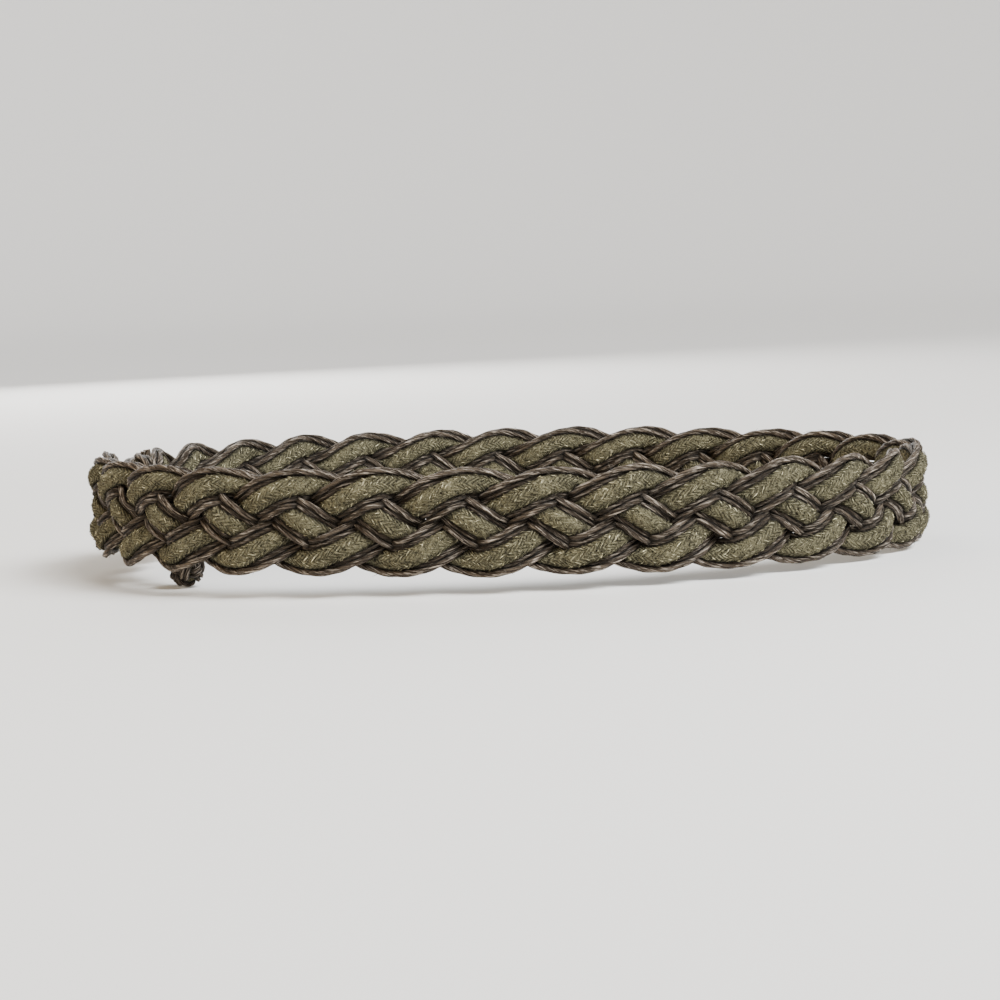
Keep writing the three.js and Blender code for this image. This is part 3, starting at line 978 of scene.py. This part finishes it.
fuzz = {
    "felt": {
        "spindle": (2.1, 0.20, 0.30),  # length, thickness and bow
        "density": 9.6e5,  # fibres per square metre
        "lift": (-12, 16),  # degrees off the cord's surface
        "lean": (34, 16),  # degrees off the cord's way, as its column leans, and how far that varies
        "stripes": 0.35,  # how much of a fibre's tone follows the cover's strokes
        "scale": (0.5, 1.3),
        "seed": 5,
    },
    "hair": {
        "spindle": (3.0, 0.10, 0.35),
        "density": 2.0e4,
        "lift": (-4, 30),
        "lean": (0, 180),
        "stripes": 0.0,
        "scale": (0.6, 1.7),
        "seed": 50,
    },
    "underFloor": 0.04,  # what is left of a fibre's depth under the floor
}


def bentFibre(length, thickness, bow):
    work = bmesh.new()
    bmesh.ops.create_uvsphere(work, u_segments=3, v_segments=2, radius=1)
    bmesh.ops.rotate(work, verts=work.verts, matrix=Matrix.Rotation(math.pi / 2, 3, "Y"))
    bmesh.ops.scale(work, verts=work.verts, vec=Vector((length, thickness, thickness)) * mm / 2)
    ring = [vertex for vertex in work.verts if abs(vertex.co.x) < length * mm * 0.1]
    bmesh.ops.translate(work, verts=ring, vec=(0, 0, bow * mm))
    mesh = bpy.data.meshes.new("bentFibre")
    work.to_mesh(mesh)
    work.free()
    fibre = bpy.data.objects.new("bentFibre", mesh)
    scene.collection.objects.link(fibre)
    return fibre


def scatterNodes(fibre, kind, seed):
    tree = bpy.data.node_groups.new("scatterFibres", "GeometryNodeTree")
    for end in ("INPUT", "OUTPUT"):
        tree.interface.new_socket("Geometry", in_out=end, socket_type="NodeSocketGeometry")
    given, result = addNode(tree, "NodeGroupInput"), addNode(tree, "NodeGroupOutput")
    spots = addNode(tree, "GeometryNodeDistributePointsOnFaces", (
        ("Mesh", given.outputs[0]), ("Density", kind["density"]), ("Seed", seed)))
    way, uv = (
        addNode(tree, "GeometryNodeInputNamedAttribute", (("Name", name),),
                data_type="FLOAT_VECTOR").outputs[0]
        for name in ("way", "UVMap")
    )
    along = addNode(tree, "FunctionNodeAlignRotationToVector", (
        ("Rotation", spots.outputs["Rotation"]), ("Vector", way)), axis="X", pivot_axis="Z")
    side, phase = onCover(tree, uv)
    lean, varies = kind["lean"]
    slant = addNode(tree, "ShaderNodeCombineXYZ", ((2, reckon(tree, "MULTIPLY", side, math.radians(lean))),))
    low, high = (Vector((0, math.radians(up), math.radians(aside)))
                 for up, aside in zip(kind["lift"], (-varies, varies)))
    turn = addNode(tree, "FunctionNodeRandomValue", (
        (0, low), (1, high), ("Seed", seed + 1)), data_type="FLOAT_VECTOR")
    rotation = along.outputs[0]
    for turned in (slant, turn):
        rotation = addNode(tree, "FunctionNodeRotateRotation", (
            ("Rotation", rotation), ("Rotate By", turned.outputs[0])), rotation_space="LOCAL").outputs[0]
    size = addNode(tree, "FunctionNodeRandomValue", (
        (2, kind["scale"][0]), (3, kind["scale"][1]), ("Seed", seed + 2)), data_type="FLOAT")
    chance = addNode(tree, "FunctionNodeRandomValue", (("Seed", seed + 3),), data_type="FLOAT")
    half = kind["stripes"] / 2
    stripe = reckon(tree, "MULTIPLY_ADD", reckon(tree, "SINE", phase), half, half)
    tone = reckon(tree, "MULTIPLY_ADD", chance.outputs[1], 1 - kind["stripes"], stripe)
    shape = addNode(tree, "GeometryNodeObjectInfo", (("Object", fibre),))
    copies = addNode(tree, "GeometryNodeInstanceOnPoints", (
        ("Points", spots.outputs["Points"]), ("Instance", shape.outputs["Geometry"]),
        ("Rotation", rotation), ("Scale", size.outputs[1])))
    toned = addNode(tree, "GeometryNodeStoreNamedAttribute", (
        ("Geometry", copies.outputs[0]), ("Name", "tone"), ("Value", tone)),
        data_type="FLOAT", domain="INSTANCE")
    real = addNode(tree, "GeometryNodeRealizeInstances", (("Geometry", toned.outputs[0]),))
    tree.links.new(real.outputs[0], result.inputs[0])
    return tree


def addFuzz(name, piece, material, slot, fibre, kind, seed):
    carrier = bpy.data.objects.new(name + "Carrier", piece.data)
    scene.collection.objects.link(carrier)
    carrier.modifiers.new("scatter", "NODES").node_group = scatterNodes(fibre, kind, seed)
    bpy.context.view_layer.update()
    mesh = bpy.data.meshes.new_from_object(carrier.evaluated_get(bpy.context.evaluated_depsgraph_get()))
    bpy.data.objects.remove(carrier)
    mesh.name = name
    loose = bpy.data.objects.new(name, mesh)
    scene.collection.objects.link(loose)
    finish(loose, material)
    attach(loose, "root")
    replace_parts(loose, *piece["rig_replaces"])
    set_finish(loose, slot)
    print(name, len(mesh.polygons), "faces")


for piece in list(bpy.data.objects):
    if piece.type == "MESH" and "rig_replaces" in piece:
        finish(piece, felt if piece["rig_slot"] == "soft_cord" else waxed)

spindles = {kind: bentFibre(*fuzz[kind]["spindle"]) for kind in ("felt", "hair")}
for strand in range(1, braid["strands"] + 1):
    for kind, name, base, material, slot in (("felt", "feltFuzz", "feltCord", feltFibre, "soft_cord"),
                                             ("hair", "strayHairs", "thinCords", waxedHair, "waxed_cord")):
        addFuzz(f"{name}{strand}", bpy.data.objects[f"{base}{strand}"], material, slot,
                spindles[kind], fuzz[kind], fuzz[kind]["seed"] + strand)
for spindle in spindles.values():
    bpy.data.objects.remove(spindle)
print("fibres scattered")


# What hangs lower than the floor lies down on it
def layOnFloor(mesh):
    spots = np.zeros(len(mesh.vertices) * 3, np.float32)
    mesh.vertices.foreach_get("co", spots)
    spots[2::3] = np.where(spots[2::3] < 0, spots[2::3] * fuzz["underFloor"], spots[2::3])
    mesh.vertices.foreach_set("co", spots)
    mesh.update()


for piece in bpy.data.objects:
    if piece.type == "MESH" and "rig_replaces" in piece:
        layOnFloor(piece.data)


# The floor, the lights and the camera

studio = {
    "floorRadius": 3.0,
    "floorRings": (0, 0.25, 1),
    "floorDrop": 0.0002,
    "rimRadius": 1.6,
    "rimSteps": 12,
    "floorSteps": 64,
    "weld": 1e-5,
    "floorColour": (0.86, 0.85, 0.83),
    "floorRoughness": 0.9,
    "softboxes": (  # name, place, size, power and colour
        ("topSoftbox", (0.75, -0.50, 0.90), 0.7, 24, (0.94, 0.975, 1.0)),
        ("leftFill", (-1.2, -0.6, 0.5), 0.8, 9, (1.0, 0.70, 0.34)),
        ("backFill", (-0.35, 1.25, 0.55), 0.9, 12, (1.0, 0.99, 0.97)),
    ),
    "aim": (0, 0, 0.02),
    "sunFrom": (0.62, -0.72, 1.0),
    "sunStrength": 3.05,
    "sunWidth": 30,  # degrees
    "sunColour": (0.99, 0.985, 0.985),
    "airColour": (1.0, 0.97, 0.92),
    "airStrength": 0.35,
    "cameraPlace": (0.01171, -0.92495, 0.10893),
    "cameraYaw": -0.93,
    "cameraDown": 5.55,
    "cameraRoll": -2.53,
    "sensor": 36,
    "focal": 2661.17,  # in pixels of a picture 1000 pixels wide
}

# A round pale floor whose rim curves up into a low wall, the same from every side
floorWork = bmesh.new()
rim = [floorWork.verts.new((studio["floorRadius"] * share, 0, -studio["floorDrop"]))
       for share in studio["floorRings"]]
for step in range(1, studio["rimSteps"] + 1):
    bend = math.pi / 2 * step / studio["rimSteps"]
    rim.append(floorWork.verts.new((
        studio["floorRadius"] + studio["rimRadius"] * math.sin(bend), 0,
        studio["rimRadius"] * (1 - math.cos(bend)),
    )))
profile = [floorWork.edges.new(pair) for pair in zip(rim, rim[1:])]
bmesh.ops.spin(floorWork, geom=rim + profile, cent=(0, 0, 0), axis=(0, 0, 1), angle=2 * math.pi,
               steps=studio["floorSteps"], use_merge=True)
bmesh.ops.remove_doubles(floorWork, verts=floorWork.verts, dist=studio["weld"])
bmesh.ops.recalc_face_normals(floorWork, faces=floorWork.faces)
for face in floorWork.faces:
    face.smooth = True
floorMesh = bpy.data.meshes.new("floor")
floorWork.to_mesh(floorMesh)
floorWork.free()
floor = bpy.data.objects.new("floor", floorMesh)
pale, _, shader = newMaterial("paleFloor", studio["floorRoughness"])
shader.inputs["Base Color"].default_value = (*studio["floorColour"], 1)
floorMesh.materials.append(pale)
scene.collection.objects.link(floor)

for name, place, size, power, colour in studio["softboxes"]:
    light = bpy.data.lights.new(name, "AREA")
    light.shape = "DISK"
    light.size = size
    light.energy = power
    light.color = colour
    lamp = bpy.data.objects.new(name, light)
    lamp.location = place
    lamp.rotation_euler = (Vector(studio["aim"]) - Vector(place)).to_track_quat("-Z", "Y").to_euler()
    scene.collection.objects.link(lamp)

sunLight = bpy.data.lights.new("softSun", "SUN")
sunLight.energy = studio["sunStrength"]
sunLight.angle = math.radians(studio["sunWidth"])
sunLight.color = studio["sunColour"]
sun = bpy.data.objects.new("softSun", sunLight)
sun.rotation_euler = (-Vector(studio["sunFrom"])).to_track_quat("-Z", "Y").to_euler()
scene.collection.objects.link(sun)

world = bpy.data.worlds.new("studioAir")
world.use_nodes = True
air = world.node_tree.nodes["Background"]
air.inputs["Color"].default_value = (*studio["airColour"], 1)
air.inputs["Strength"].default_value = studio["airStrength"]
scene.world = world

cameraData = bpy.data.cameras.new("photoCamera")
cameraData.sensor_width = studio["sensor"]
cameraData.lens = studio["focal"] * studio["sensor"] / 1000
camera = bpy.data.objects.new("photoCamera", cameraData)
yaw, down, roll = (math.radians(studio[key]) for key in ("cameraYaw", "cameraDown", "cameraRoll"))
camera.matrix_world = (
    Matrix.Translation(studio["cameraPlace"])
    @ Matrix.Rotation(-yaw, 4, "Z")
    @ Matrix.Rotation(math.pi / 2 - down, 4, "X")
    @ Matrix.Rotation(roll, 4, "Z")
)
scene.collection.objects.link(camera)
scene.camera = camera
print("studio ready")
